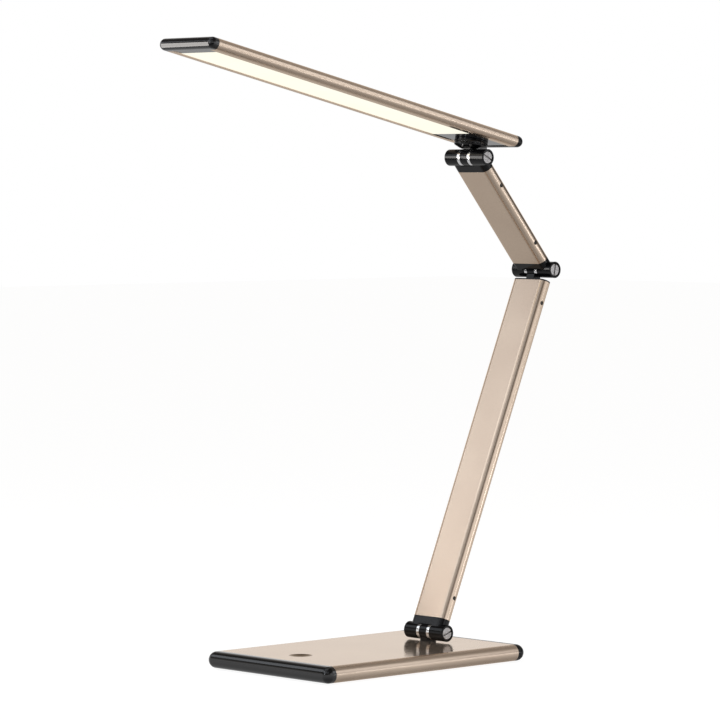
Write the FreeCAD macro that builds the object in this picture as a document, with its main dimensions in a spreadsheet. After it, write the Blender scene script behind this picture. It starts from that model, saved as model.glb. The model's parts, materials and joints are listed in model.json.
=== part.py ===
import FreeCAD, Part
import math
import os
from types import SimpleNamespace

import Sketcher

# Desk lamp with a flat base, two swing arms and a slim tilting head.
# Millimetres. Z is up, the hinge axes lie along X and the head reaches out towards -Y.
# The origin is the centre of the base pad's underside.

# Driving sizes, one sheet row each.
SIZES = {
    # Base
    "base_length": 200.0,
    "base_width": 131.0,
    "base_thick": 12.2,
    "base_wall": 1.6,
    "base_cap": 8.7,
    "cap_plug": 5.5,
    "cap_plug_wall": 2.0,
    "plug_gap": 0.1,
    "pad_thick": 0.6,
    "pad_margin": 18.0,
    "pad_corner": 10.0,
    "ballast_thick": 6.4,
    "ballast_side_room": 13.5,
    "ballast_front_room": 11.0,
    # Touch control in the base
    "touch_from_front": 34.0,
    "touch_dia": 17.0,
    "touch_gap": 0.1,
    "touch_rim": 2.0,
    "touch_flange": 1.0,
    "touch_dip": 1.4,
    "electrode_dia": 8.0,
    "board_width": 46.0,
    "board_length": 34.0,
    "board_thick": 1.2,
    "tray_margin": 2.0,
    "tray_thick": 1.5,
    "post_tall": 2.0,
    "post_dia": 6.0,
    "post_x": 18.0,
    "tray_screw_dia": 2.5,
    "connector_wide": 5.0,
    "connector_long": 6.0,
    "chip_side": 8.0,
    "chip_thick": 1.3,
    # Supply inlet
    "jack_width": 9.0,
    "jack_tall": 8.4,
    "jack_depth": 13.0,
    "jack_bush": 8.0,
    "jack_bore": 5.7,
    "jack_bore_depth": 10.0,
    "jack_recess": 1.0,
    "jack_pin": 2.1,
    "jack_pin_short": 1.0,
    "jack_pin_root": 3.0,
    "jack_root_dia": 1.5,
    "lead_dia": 2.4,
    "lead_bend": 4.0,
    # Friction hinges
    "hinge_from_rear": 37.9,
    "hinge_gap": 0.8,
    "barrel_dia": 12.4,
    "barrel_bevel": 0.3,
    "tongue_wide": 7.6,
    "tongue_neck": 7.0,
    "side_play": 0.05,
    "ring_wide": 2.9,
    "fork_wide": 13.1,
    "knuckle_gap": 0.4,
    "pivot_dia": 5.0,
    "pivot_fit": 0.05,
    "pivot_head_dia": 9.2,
    "pivot_head_tall": 3.7,
    "pivot_head_sunk": 0.4,
    "pivot_head_gap": 0.2,
    "screw_end_extra": 0.7,
    "slot_wide": 1.1,
    "slot_deep": 1.2,
    "spring_thick": 0.7,
    "nut_flats": 8.0,
    "nut_thick": 4.0,
    "nut_sunk": 0.4,
    "nut_gap": 0.1,
    "base_slot_turn": 18.0,
    "elbow_slot_turn": 80.0,
    "head_slot_turn": 28.0,
    "foot_block": 9.2,
    "tenon_wide": 6.6,
    "tenon_long": 8.6,
    "tenon_gap": 0.1,
    "foot_screw_dia": 2.5,
    "foot_screw_at": 2.4,
    "foot_screw_bite": 7.0,
    "screw_hole_gap": 0.2,
    "screw_sink": 1.2,
    # Arms
    "arm_width": 33.9,
    "arm_thick": 10.2,
    "arm_wall": 1.4,
    "arm_plug": 24.0,
    "tube_end": 10.2,
    "tongue_lip": 1.0,
    "arm_lead_dia": 3.0,
    "arm_lead_gap": 0.1,
    "arm_lead_stop": 7.6,
    "side_screw_at": 27.2,
    "side_screw_dia": 3.0,
    "side_screw_long": 6.0,
    "side_screw_sunk": 0.35,
    "lower_arm": 290.0,
    "lower_lean": 23.1,
    "upper_arm": 111.0,
    "upper_lean": 40.4,
    # Head
    "head_tilt": 12.4,
    "head_length": 316.0,
    "head_width": 58.2,
    "head_thick": 8.6,
    "head_wall": 1.2,
    "head_cap": 7.0,
    "head_rear": 27.0,
    "head_rise": 12.85,
    "head_slot": 40.0,
    "land_gap": 0.15,
    "panel_recess": 0.5,
    "panel_flange": 1.0,
    "panel_ledge": 4.0,
    "panel_front": 274.0,
    "panel_rear": 20.5,
    "end_gap": 0.1,
    "front_plug": 5.0,
    "rear_plug": 3.8,
    "plug_width": 44.0,
    "guide_thick": 3.8,
    "guide_width": 42.6,
    "guide_short": 2.5,
    "reflector_thick": 1.4,
    "led_thick": 0.9,
    "led_wide": 3.5,
    "led_tall": 2.8,
    "led_gap": 0.1,
    "led_pitch": 12.0,
    "led_board_thick": 1.0,
    "led_board_tall": 4.4,
    # Swivel between the arm and the head
    "disc_dia": 25.0,
    "disc_foot_dia": 16.0,
    "disc_bottom": 6.55,
    "disc_cone": 2.0,
    "disc_thick": 3.45,
    "washer_thick": 0.35,
    "washer_dia": 20.0,
    "swivel_bolt_dia": 5.0,
    "bolt_head_dia": 10.0,
    "bolt_head_tall": 2.5,
    "bolt_end": 4.4,
    "bolt_socket": 4.0,
    "bolt_socket_deep": 1.4,
    "block_floor": 2.95,
    "bolt_well_dia": 13.5,
    "bolt_spring_dia": 12.0,
    "bolt_spring_thick": 0.8,
    "plate_screw_at": 9.0,
    "plate_screw_dia": 2.5,
    "plate_screw_long": 6.0,
}

LEDS_PER_SIDE = 20
QUARTER_TURN = 90.0
HALF_TURN = 180.0
FULL_TURN = 360.0
# A countersunk head's radius as a share of the screw's diameter.
COUNTERSINK = 0.9
# An edge counts as upright when its direction is at least this steep.
UPRIGHT_SHARE = 0.9

# The sketcher's own numbers for its axes and for the points of an edge.
LEVEL, UPRIGHT = range(-1, -3, -1)
START, END, CENTRE = range(1, 4)
SHEET_NAME = "Sizes"


class Size:
    """A length or an angle that carries its number and the sheet expression behind it."""

    def __init__(self, value, text):
        self.value = value
        self.text = text

    def __add__(self, other):
        other = as_size(other)
        return Size(self.value + other.value, f"({self.text} + {other.text})")

    def __sub__(self, other):
        other = as_size(other)
        return Size(self.value - other.value, f"({self.text} - {other.text})")

    def __mul__(self, other):
        other = as_size(other)
        return Size(self.value * other.value, f"({self.text} * {other.text})")

    def __truediv__(self, other):
        other = as_size(other)
        return Size(self.value / other.value, f"({self.text} / {other.text})")

    def __neg__(self):
        return Size(-self.value, f"(-1 * {self.text})")

    def __rsub__(self, other):
        return as_size(other) - self

    def __radd__(self, other):
        return as_size(other) + self

    def __rmul__(self, other):
        return as_size(other) * self


def as_size(number):
    if isinstance(number, Size):
        return number
    return Size(float(number), repr(float(number)))


def sine(angle):
    return Size(math.sin(math.radians(angle.value)), f"sin({angle.text})")


def cosine(angle):
    return Size(math.cos(math.radians(angle.value)), f"cos({angle.text})")


def fill_sheet(document):
    """Write every driving size to the sheet and hand them back as named sizes."""
    sheet = document.addObject("Spreadsheet::Sheet", SHEET_NAME)
    named = {}
    for row, (alias, value) in enumerate(SIZES.items(), start=1):
        sheet.set(f"A{row}", alias)
        sheet.set(f"B{row}", str(value))
        sheet.setAlias(f"B{row}", alias)
        named[alias] = Size(value, f"{SHEET_NAME}.{alias}")
    document.recompute()
    return SimpleNamespace(**named)


doc = FreeCAD.newDocument("desk_lamp")
s = fill_sheet(doc)
nodes = []

# Heights and hinge positions that several pieces share.
base_floor = s.pad_thick + s.base_wall
base_middle = s.pad_thick + s.base_thick / 2
base_top = s.pad_thick + s.base_thick
base_ceiling = base_top - s.base_wall
shell_end = s.base_length / 2 - s.base_cap
touch_y = s.touch_from_front - s.base_length / 2
hinge_y = s.base_length / 2 - s.hinge_from_rear
barrel_radius = s.barrel_dia / 2
fork_inner = s.tongue_wide / 2 + s.ring_wide
fork_outer = fork_inner + s.fork_wide
screw_end = fork_outer + s.screw_end_extra
screw_face = screw_end - s.pivot_head_sunk
screw_shoulder = screw_face - s.pivot_head_tall
pivot_bore = s.pivot_dia / 2 + s.pivot_fit
hinge_z = base_top + s.hinge_gap + barrel_radius
elbow_y = hinge_y + s.lower_arm * sine(s.lower_lean)
elbow_z = hinge_z + s.lower_arm * cosine(s.lower_lean)
tilt_y = elbow_y - s.upper_arm * sine(s.upper_lean)
tilt_z = elbow_z + s.upper_arm * cosine(s.upper_lean)

# What the base shell holds, from the front plug back to the inlet.
tray_front = s.cap_plug + s.end_gap - shell_end
board_front = tray_front + s.tray_margin
board_rear = board_front + s.board_length
board_y = board_front + s.board_length / 2
board_bottom = base_floor + s.tray_thick + s.post_tall
board_top = board_bottom + s.board_thick
board_side = s.board_width / 2
ballast_side = s.base_width / 2 - s.ballast_side_room
ballast_front = board_rear + s.tray_margin + s.ballast_front_room
jack_back = shell_end - s.jack_depth
lead_turn_y = jack_back - s.lead_bend
ballast_rear = lead_turn_y - s.lead_dia
ballast_top = base_floor + s.ballast_thick

# Heights in the head, measured from the tilt hinge axis along the head's upright.
head_middle = s.head_rise + s.head_thick / 2
lip_top = s.head_rise + s.head_wall
panel_face = s.head_rise + s.panel_recess
flange_top = lip_top + s.panel_flange
head_ceiling = s.head_rise + s.head_thick - s.head_wall
guide_top = flange_top + s.guide_thick
shell_front = s.head_length - s.head_rear - s.head_cap
shell_rear = s.head_rear - s.head_cap
disc_top = s.disc_bottom + s.disc_thick
block_top = head_ceiling - s.end_gap
well_floor = panel_face + s.block_floor


def keep(thing, label):
    """Name a finished piece and list it for export."""
    thing.Label = label
    nodes.append(thing)
    return thing


def bind(thing, prop, size):
    thing.setExpression(prop, as_size(size).text)


def place(thing, x=0.0, y=0.0, z=0.0, turn=None, axis=(1, 0, 0)):
    """Put a piece at a bound position, turned by a bound angle about an axis."""
    start = [as_size(value).value for value in (x, y, z)]
    angle = as_size(turn).value if turn is not None else 0.0
    thing.Placement = FreeCAD.Placement(
        FreeCAD.Vector(*start), FreeCAD.Rotation(FreeCAD.Vector(*axis), angle)
    )
    bind(thing, "Placement.Base.x", x)
    bind(thing, "Placement.Base.y", y)
    bind(thing, "Placement.Base.z", z)
    if isinstance(turn, Size):
        bind(thing, "Placement.Rotation.Angle", turn)


# The frames that the pieces of each moving group are drawn in. An end frame looks back down its arm.
def on_lower_arm(thing):
    place(thing, 0.0, hinge_y, hinge_z, s.lower_lean, (-1, 0, 0))


def on_lower_arm_end(thing):
    place(thing, 0.0, elbow_y, elbow_z, HALF_TURN - s.lower_lean)


def on_upper_arm(thing):
    place(thing, 0.0, elbow_y, elbow_z, s.upper_lean)


def on_upper_arm_end(thing):
    place(thing, 0.0, tilt_y, tilt_z, HALF_TURN - s.upper_lean, (-1, 0, 0))


def on_head(thing):
    place(thing, 0.0, tilt_y, tilt_z, s.head_tilt, (-1, 0, 0))


def new_body(name):
    return doc.addObject("PartDesign::Body", name)


def attach(thing, body, plane):
    """Fix a feature to one of its body's origin planes."""
    for feature in body.Origin.OriginFeatures:
        if feature.Role == plane:
            thing.AttachmentSupport = (feature, [""])
    thing.MapMode = "FlatFace"


def new_sketch(body, plane, lift=0.0, across=0.0, along=0.0):
    """A sketch on one of the body's origin planes, lifted off it and moved along its two axes."""
    sketch = body.newObject("Sketcher::SketchObject", body.Name + "_sketch")
    attach(sketch, body, plane)
    bind(sketch, "AttachmentOffset.Base.x", across)
    bind(sketch, "AttachmentOffset.Base.y", along)
    bind(sketch, "AttachmentOffset.Base.z", lift)
    return sketch


def constrain(sketch, *definition):
    return sketch.addConstraint(Sketcher.Constraint(*definition))


def fix_point(sketch, geometry, point, x, y):
    """Hold one point at bound coordinates, or on a sketch axis where a coordinate is a plain zero."""
    for kind, axis, coordinate in (("DistanceX", UPRIGHT, x), ("DistanceY", LEVEL, y)):
        if isinstance(coordinate, Size):
            index = constrain(sketch, kind, LEVEL, START, geometry, point, coordinate.value)
            bind(sketch, f"Constraints[{index}]", coordinate)
        else:
            constrain(sketch, "PointOnObject", geometry, point, axis)


def add_outline(sketch, points):
    """A closed outline of straight edges."""
    first = sketch.GeometryCount
    spots = [FreeCAD.Vector(as_size(x).value, as_size(y).value, 0) for x, y in points]
    count = len(spots)
    for index in range(count):
        sketch.addGeometry(Part.LineSegment(spots[index], spots[(index + 1) % count]))
    for index in range(count):
        constrain(sketch, "Coincident", first + index, END, first + (index + 1) % count, START)
    for index, (x, y) in enumerate(points):
        fix_point(sketch, first + index, START, x, y)


def add_path(sketch, spots):
    """An open run of straight lines through the given spots."""
    lines = [add_line(sketch, *before, *after) for before, after in zip(spots, spots[1:])]
    fix_point(sketch, lines[0], START, *spots[0])
    for line, spot in zip(lines, spots[1:]):
        fix_point(sketch, line, END, *spot)
    for before, after in zip(lines, lines[1:]):
        constrain(sketch, "Coincident", before, END, after, START)


def add_rectangle(sketch, x0, x1, y0, y1):
    add_outline(sketch, [(x0, y0), (x1, y0), (x1, y1), (x0, y1)])


def add_circle(sketch, x, y, diameter):
    centre = FreeCAD.Vector(as_size(x).value, as_size(y).value, 0)
    circle = Part.Circle(centre, FreeCAD.Vector(0, 0, 1), diameter.value / 2)
    geometry = sketch.addGeometry(circle)
    fix_point(sketch, geometry, CENTRE, x, y)
    index = constrain(sketch, "Diameter", geometry, diameter.value)
    bind(sketch, f"Constraints[{index}]", diameter)


def add_line(sketch, x0, y0, x1, y1):
    start = FreeCAD.Vector(as_size(x0).value, as_size(y0).value, 0)
    end = FreeCAD.Vector(as_size(x1).value, as_size(y1).value, 0)
    return sketch.addGeometry(Part.LineSegment(start, end))


def add_arc(sketch, x, y, radius, start, end):
    centre = FreeCAD.Vector(as_size(x).value, as_size(y).value, 0)
    circle = Part.Circle(centre, FreeCAD.Vector(0, 0, 1), radius.value)
    return sketch.addGeometry(Part.ArcOfCircle(circle, math.radians(start), math.radians(end)))


def add_stadium(sketch, width, height, y=0.0):
    """A slot outline with full-round ends, centred on the sketch's upright axis."""
    reach = width / 2 - height / 2
    radius = height / 2
    right = add_arc(sketch, reach, y, radius, -QUARTER_TURN, QUARTER_TURN)
    left = add_arc(sketch, -reach, y, radius, QUARTER_TURN, HALF_TURN + QUARTER_TURN)
    top = add_line(sketch, reach, y + radius, -reach, y + radius)
    bottom = add_line(sketch, -reach, y - radius, reach, y - radius)
    constrain(sketch, "Tangent", right, END, top, START)
    constrain(sketch, "Tangent", top, END, left, START)
    constrain(sketch, "Tangent", left, END, bottom, START)
    constrain(sketch, "Tangent", bottom, END, right, START)
    constrain(sketch, "Equal", right, left)
    fix_point(sketch, right, CENTRE, reach, y)
    fix_point(sketch, left, CENTRE, -reach, y)
    index = constrain(sketch, "Radius", right, radius.value)
    bind(sketch, f"Constraints[{index}]", radius)


def add_hexagon(sketch, flats):
    corner = flats / math.sqrt(3)
    half = corner / 2
    side = flats / 2
    add_outline(
        sketch,
        [(corner, 0.0), (half, side), (-half, side), (-corner, 0.0), (-half, -side), (half, -side)],
    )


def add_nose(sketch, width, radius, outward):
    """Half of a plan with rounded corners, closed along the level axis. Outward is -1 or 1."""
    half = width / 2
    reach = half - radius
    front_y = radius * outward
    axis = add_line(sketch, -half, 0.0, half, 0.0)
    front = add_line(sketch, -reach, front_y, reach, front_y)
    if outward < 0:
        left = add_arc(sketch, -reach, 0.0, radius, HALF_TURN, HALF_TURN + QUARTER_TURN)
        right = add_arc(sketch, reach, 0.0, radius, -QUARTER_TURN, 0.0)
        left_side, left_front, right_front, right_side = START, END, START, END
    else:
        left = add_arc(sketch, -reach, 0.0, radius, QUARTER_TURN, HALF_TURN)
        right = add_arc(sketch, reach, 0.0, radius, 0.0, QUARTER_TURN)
        left_side, left_front, right_front, right_side = END, START, END, START
    constrain(sketch, "Coincident", axis, START, left, left_side)
    constrain(sketch, "Tangent", left, left_front, front, START)
    constrain(sketch, "Tangent", front, END, right, right_front)
    constrain(sketch, "Coincident", right, right_side, axis, END)
    fix_point(sketch, axis, START, -half, 0.0)
    fix_point(sketch, axis, END, half, 0.0)
    fix_point(sketch, left, CENTRE, -reach, 0.0)
    fix_point(sketch, right, CENTRE, reach, 0.0)


def pad(body, sketch, length, back=False, both=False):
    feature = body.newObject("PartDesign::Pad", body.Name + "_pad")
    feature.Profile = (sketch, [""])
    feature.Reversed = back
    if both:
        feature.SideType = "Symmetric"
    bind(feature, "Length", length)
    return feature


def pocket(body, sketch, length=None, back=False):
    """Cut a sketch out, to a depth or through everything when no depth is given."""
    feature = body.newObject("PartDesign::Pocket", body.Name + "_pocket")
    feature.Profile = (sketch, [""])
    feature.Reversed = back
    if length is None:
        feature.Type = "ThroughAll"
    else:
        bind(feature, "Length", length)
    return feature


def spin(body, sketch, axis="H_Axis", angle=FULL_TURN, both=False):
    feature = body.newObject("PartDesign::Revolution", body.Name + "_spin")
    feature.Profile = (sketch, [""])
    feature.ReferenceAxis = (sketch, [axis])
    feature.Angle = angle
    feature.Midplane = both
    return feature


def groove(body, sketch, axis="H_Axis"):
    feature = body.newObject("PartDesign::Groove", body.Name + "_groove")
    feature.Profile = (sketch, [""])
    feature.ReferenceAxis = (sketch, [axis])
    feature.Angle = FULL_TURN
    return feature


def group(label, pieces):
    """Several like solids kept as one node."""
    compound = doc.addObject("Part::Compound", label)
    compound.Links = pieces
    return keep(compound, label)


def block(name, x0, x1, y0, y1, z0, z1):
    """A plain box between bound limits."""
    box = doc.addObject("Part::Box", name)
    bind(box, "Length", x1 - x0)
    bind(box, "Width", y1 - y0)
    bind(box, "Height", z1 - z0)
    place(box, x0, y0, z0)
    return box


def countersunk_screw(name, diameter, length):
    """A flat-headed screw that points up from the origin."""
    body = new_body(name)
    sketch = new_sketch(body, "XZ_Plane")
    wide = diameter * COUNTERSINK
    narrow = diameter / 2
    sink = s.screw_sink
    add_outline(sketch, [(0.0, 0.0), (wide, 0.0), (narrow, sink), (narrow, length), (0.0, length)])
    spin(body, sketch, "V_Axis")
    return body


# Base
def base_shell():
    body = keep(new_body("base_shell"), "base_shell")
    inner_width = s.base_width - s.base_wall * 2
    inner_thick = s.base_thick - s.base_wall * 2
    skin = new_sketch(body, "XZ_Plane")
    add_stadium(skin, s.base_width, s.base_thick, base_middle)
    add_stadium(skin, inner_width, inner_thick, base_middle)
    pad(body, skin, shell_end * 2, both=True)

    top_cuts = new_sketch(body, "XY_Plane", base_top)
    add_circle(top_cuts, 0.0, touch_y, s.touch_dia)
    slot_x = s.tenon_wide / 2 + s.tenon_gap
    slot_y = s.tenon_long / 2 + s.tenon_gap
    add_rectangle(top_cuts, -slot_x, slot_x, hinge_y - slot_y, hinge_y + slot_y)
    pocket(body, top_cuts, s.base_wall)

    for side in (-1, 1):
        foot_y = hinge_y + side * s.foot_screw_at
        cut_screw_seat(body, s.foot_screw_dia, s.base_wall, 0.0, foot_y, s.pad_thick)
        cut_screw_seat(body, s.tray_screw_dia, s.base_wall, side * s.post_x, board_y, s.pad_thick)


def cut_screw_seat(body, diameter, depth, x, y, z):
    """A countersunk hole that opens downwards."""
    hole = new_sketch(body, "XZ_Plane", -as_size(y), x, z)
    wide = diameter * COUNTERSINK
    narrow = diameter / 2
    sink = s.screw_sink
    add_outline(hole, [(0.0, 0.0), (wide, 0.0), (narrow, sink), (narrow, depth), (0.0, depth)])
    groove(body, hole, "V_Axis")


def end_cap(label, width, thick, length, middle, end, outward):
    """The rounded nose of an end cap on an extrusion's end plane. Outward is -1 or 1 along Y."""
    body = keep(new_body(label), label)
    radius = thick / 2
    straight = length - radius
    collar = new_sketch(body, "XZ_Plane", -end)
    add_stadium(collar, width, thick, middle)
    pad(body, collar, straight, back=outward > 0)
    nose = new_sketch(body, "XY_Plane", middle, along=end + straight * outward)
    add_nose(nose, width, radius, outward)
    spin(body, nose, angle=HALF_TURN, both=True)
    return body


def base_cap(label, end, outward):
    """A base end cap with its hollow plug."""
    body = end_cap(label, s.base_width, s.base_thick, s.base_cap, base_middle, end, outward)
    plug_width = s.base_width - (s.base_wall + s.plug_gap) * 2
    plug_thick = s.base_thick - (s.base_wall + s.plug_gap) * 2
    hollow_width = plug_width - s.cap_plug_wall * 2
    hollow_thick = plug_thick - s.cap_plug_wall * 2
    plug = new_sketch(body, "XZ_Plane", -end)
    add_stadium(plug, plug_width, plug_thick, base_middle)
    add_stadium(plug, hollow_width, hollow_thick, base_middle)
    pad(body, plug, s.cap_plug, back=outward < 0)
    return body


def base_rear_cap():
    """The rear cap also holds the supply inlet."""
    body = base_cap("base_rear_cap", shell_end, 1)
    seat = new_sketch(body, "XZ_Plane", -shell_end)
    side = s.jack_width / 2 + s.plug_gap
    add_rectangle(seat, -side, side, s.pad_thick, base_top)
    pocket(body, seat, s.cap_plug, back=True)
    mouth = new_sketch(body, "XZ_Plane", -shell_end)
    add_circle(mouth, 0.0, base_middle, s.jack_bush + s.plug_gap * 2)
    pocket(body, mouth, s.base_cap)


def base_pad():
    body = keep(new_body("base_pad"), "base_pad")
    half_x = s.base_width / 2 - s.pad_margin
    half_y = s.base_length / 2 - s.pad_margin
    plan = new_sketch(body, "XY_Plane")
    add_rectangle(plan, -half_x, half_x, -half_y, half_y)
    sheet = pad(body, plan, s.pad_thick)
    doc.recompute()
    rounding = body.newObject("PartDesign::Fillet", "base_pad_corners")
    upright = [
        f"Edge{number}"
        for number, edge in enumerate(sheet.Shape.Edges, start=1)
        if abs(edge.tangentAt(edge.FirstParameter).z) > UPRIGHT_SHARE
    ]
    rounding.Base = (sheet, upright)
    bind(rounding, "Radius", s.pad_corner)


def base_ballast():
    body = keep(new_body("base_ballast"), "base_ballast")
    plan = new_sketch(body, "XY_Plane", base_floor)
    add_rectangle(plan, -ballast_side, ballast_side, ballast_front, ballast_rear)
    for side in (-1, 1):
        spot = hinge_y + side * s.foot_screw_at
        add_circle(plan, 0.0, spot, s.foot_screw_dia + s.screw_hole_gap * 2)
    pad(body, plan, s.ballast_thick)


def touch_dish():
    """The shallow metal dish that a fingertip finds, held under the shell by its flange."""
    body = keep(new_body("touch_dish"), "touch_dish")
    radius = s.touch_dia / 2 - s.touch_gap
    flange = radius + s.touch_rim
    seat = base_ceiling - s.touch_flange
    outline = new_sketch(body, "XZ_Plane")
    add_outline(
        outline,
        [
            (0.0, seat),
            (flange, seat),
            (flange, base_ceiling),
            (radius, base_ceiling),
            (radius, base_top),
            (0.0, base_top),
        ],
    )
    spin(body, outline, "V_Axis")
    hollow = body.newObject("PartDesign::SubtractiveSphere", "touch_hollow")
    attach(hollow, body, "XY_Plane")
    bowl = (radius * radius + s.touch_dip * s.touch_dip) / (s.touch_dip * 2)
    bind(hollow, "Radius", bowl)
    bind(hollow, "AttachmentOffset.Base.z", base_top + bowl - s.touch_dip)
    place(body, 0.0, touch_y, 0.0)


def touch_electrode():
    body = keep(new_body("touch_electrode"), "touch_electrode")
    sketch = new_sketch(body, "XY_Plane", board_top)
    add_circle(sketch, 0.0, 0.0, s.electrode_dia)
    pad(body, sketch, base_ceiling - s.touch_flange - board_top)
    place(body, 0.0, touch_y, 0.0)


def board_tray():
    """The insulating tray that carries the board on two screw posts."""
    body = keep(new_body("board_tray"), "board_tray")
    half_x = board_side + s.tray_margin
    half_y = s.board_length / 2 + s.tray_margin
    plan = new_sketch(body, "XY_Plane", base_floor)
    add_rectangle(plan, -half_x, half_x, -half_y, half_y)
    pad(body, plan, s.tray_thick)
    posts = new_sketch(body, "XY_Plane", base_floor)
    holes = new_sketch(body, "XY_Plane", base_floor)
    for side in (-1, 1):
        add_circle(posts, side * s.post_x, 0.0, s.post_dia)
        add_circle(holes, side * s.post_x, 0.0, s.tray_screw_dia)
    pad(body, posts, s.tray_thick + s.post_tall)
    pocket(body, holes, s.tray_thick + s.post_tall, back=True)
    place(body, 0.0, board_y, 0.0)


def control_board():
    """The touch dimmer's board with its two lead connectors and its driver chip."""
    plate = block(
        "board_plate", -board_side, board_side, board_front, board_rear, board_bottom, board_top
    )
    side_end = board_side + s.tray_margin + s.connector_wide
    supply = block(
        "board_supply",
        board_side - s.tray_margin,
        side_end,
        board_rear - s.connector_long,
        board_rear,
        board_bottom,
        board_top + s.chip_thick,
    )
    supply_foot = block(
        "board_supply_foot",
        side_end - s.connector_wide + s.end_gap,
        side_end,
        board_rear - s.connector_long,
        board_rear,
        base_floor + s.end_gap,
        board_bottom,
    )
    outlet = block(
        "board_outlet",
        s.connector_long / 2,
        s.connector_long + s.connector_long / 2,
        board_rear - s.connector_wide,
        board_rear,
        board_top,
        ballast_top + s.lead_dia,
    )
    chip = block(
        "board_chip",
        -s.chip_side * 2,
        -s.chip_side,
        board_front + s.tray_margin,
        board_front + s.tray_margin + s.chip_side,
        board_top,
        board_top + s.chip_thick,
    )
    fused = doc.addObject("Part::MultiFuse", "control_board")
    fused.Shapes = [plate, supply, supply_foot, outlet, chip]
    keep(fused, "control_board")


def tray_screws():
    length = s.base_wall + s.tray_thick + s.post_tall
    pieces = []
    for side in (-1, 1):
        screw = countersunk_screw("tray_screw", s.tray_screw_dia, length)
        place(screw, side * s.post_x, board_y, s.pad_thick)
        pieces.append(screw)
    group("tray_screws", pieces)


def dc_jack():
    """The barrel inlet: housing behind the rear cap, bush in the cap's hole."""
    body = keep(new_body("dc_jack"), "dc_jack")
    half_x = s.jack_width / 2
    half_z = s.jack_tall / 2
    housing = new_sketch(body, "XZ_Plane")
    add_rectangle(housing, -half_x, half_x, -half_z, half_z)
    pad(body, housing, s.jack_depth)
    bush = new_sketch(body, "XZ_Plane")
    add_circle(bush, 0.0, 0.0, s.jack_bush)
    bush_long = s.base_cap - s.jack_recess
    pad(body, bush, bush_long, back=True)
    bore = new_sketch(body, "XZ_Plane", -bush_long)
    add_circle(bore, 0.0, 0.0, s.jack_bore)
    pocket(body, bore, s.jack_bore_depth, back=True)
    root = new_sketch(body, "XZ_Plane", -bush_long)
    add_circle(root, 0.0, 0.0, s.jack_root_dia)
    pocket(body, root, s.jack_bore_depth + s.jack_pin_root, back=True)
    place(body, 0.0, shell_end, base_middle)


def dc_jack_pin():
    """The inlet's centre pin, with a thinner root pressed into the housing."""
    body = keep(new_body("dc_jack_pin"), "dc_jack_pin")
    bore_end = s.base_cap - s.jack_recess - s.jack_bore_depth
    pin = new_sketch(body, "XZ_Plane", -bore_end)
    add_circle(pin, 0.0, 0.0, s.jack_pin)
    pad(body, pin, s.jack_bore_depth - s.jack_pin_short, back=True)
    root = new_sketch(body, "XZ_Plane", -bore_end)
    add_circle(root, 0.0, 0.0, s.jack_root_dia)
    pad(body, root, s.jack_pin_root)
    place(body, 0.0, shell_end, base_middle)


def supply_lead():
    """The lead from the inlet, past the ballast's side, to the board."""
    low = base_floor + s.lead_dia / 2
    lead_side = ballast_side + s.lead_dia + s.lead_dia / 2
    end_y = board_rear - s.connector_long / 2
    board_end = board_side + s.tray_margin + s.connector_wide
    body = new_body("supply_lead")
    path = new_sketch(body, "XY_Plane", low)
    add_path(
        path,
        [
            (0.0, jack_back),
            (0.0, lead_turn_y),
            (lead_side, lead_turn_y),
            (lead_side, end_y),
            (board_end, end_y),
        ],
    )
    profile = new_sketch(body, "XZ_Plane", -jack_back)
    add_circle(profile, 0.0, low, s.lead_dia)
    pipe = body.newObject("PartDesign::AdditivePipe", "supply_lead_pipe")
    pipe.Profile = (profile, [""])
    pipe.Spine = (path, [])
    pipe.Transition = "Round corner"
    return body


def base_leads():
    """The supply lead, and the lamp lead that runs over the ballast to the hinge."""
    lamp_lead = doc.addObject("Part::Cylinder", "lamp_lead")
    bind(lamp_lead, "Radius", s.lead_dia / 2)
    bind(lamp_lead, "Height", hinge_y - board_rear)
    place(lamp_lead, s.connector_long, hinge_y, ballast_top + s.lead_dia / 2, QUARTER_TURN)
    group("base_leads", [supply_lead(), lamp_lead])


# Hinge pieces
def cut_pivot_bore(body, half):
    """A running fit for the pivot screw through a tongue barrel."""
    bore = new_sketch(body, "XY_Plane")
    add_rectangle(bore, -half, half, 0.0, pivot_bore)
    groove(body, bore)


def tongue_barrel(label):
    """The middle barrel of a hinge, with its axis along X at the origin."""
    body = keep(new_body(label), label)
    half = s.tongue_wide / 2 - s.side_play
    barrel = new_sketch(body, "XY_Plane")
    add_rectangle(barrel, -half, half, 0.0, barrel_radius)
    spin(body, barrel)
    return body, half


def hinge_foot():
    """The tongue that stands on the base, with a tenon through the shell down to the ballast."""
    body, half = tongue_barrel("hinge_foot")
    foot_drop = barrel_radius + s.hinge_gap
    tenon_drop = foot_drop + base_top - ballast_top
    foot = new_sketch(body, "XY_Plane")
    add_rectangle(foot, -half, half, -s.foot_block / 2, s.foot_block / 2)
    pad(body, foot, foot_drop, back=True)
    tenon = new_sketch(body, "XY_Plane")
    tenon_x = s.tenon_wide / 2
    add_rectangle(tenon, -tenon_x, tenon_x, -s.tenon_long / 2, s.tenon_long / 2)
    pad(body, tenon, tenon_drop, back=True)
    holes = new_sketch(body, "XY_Plane", -tenon_drop)
    for side in (-1, 1):
        add_circle(holes, 0.0, side * s.foot_screw_at, s.foot_screw_dia)
    pocket(body, holes, s.foot_screw_bite, back=True)
    cut_pivot_bore(body, half)
    place(body, 0.0, hinge_y, hinge_z)


def hinge_foot_screws():
    length = s.base_wall + s.ballast_thick + s.foot_screw_bite
    pieces = []
    for side in (-1, 1):
        screw = countersunk_screw("foot_screw", s.foot_screw_dia, length)
        place(screw, 0.0, hinge_y + side * s.foot_screw_at, s.pad_thick)
        pieces.append(screw)
    group("hinge_foot_screws", pieces)


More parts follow.
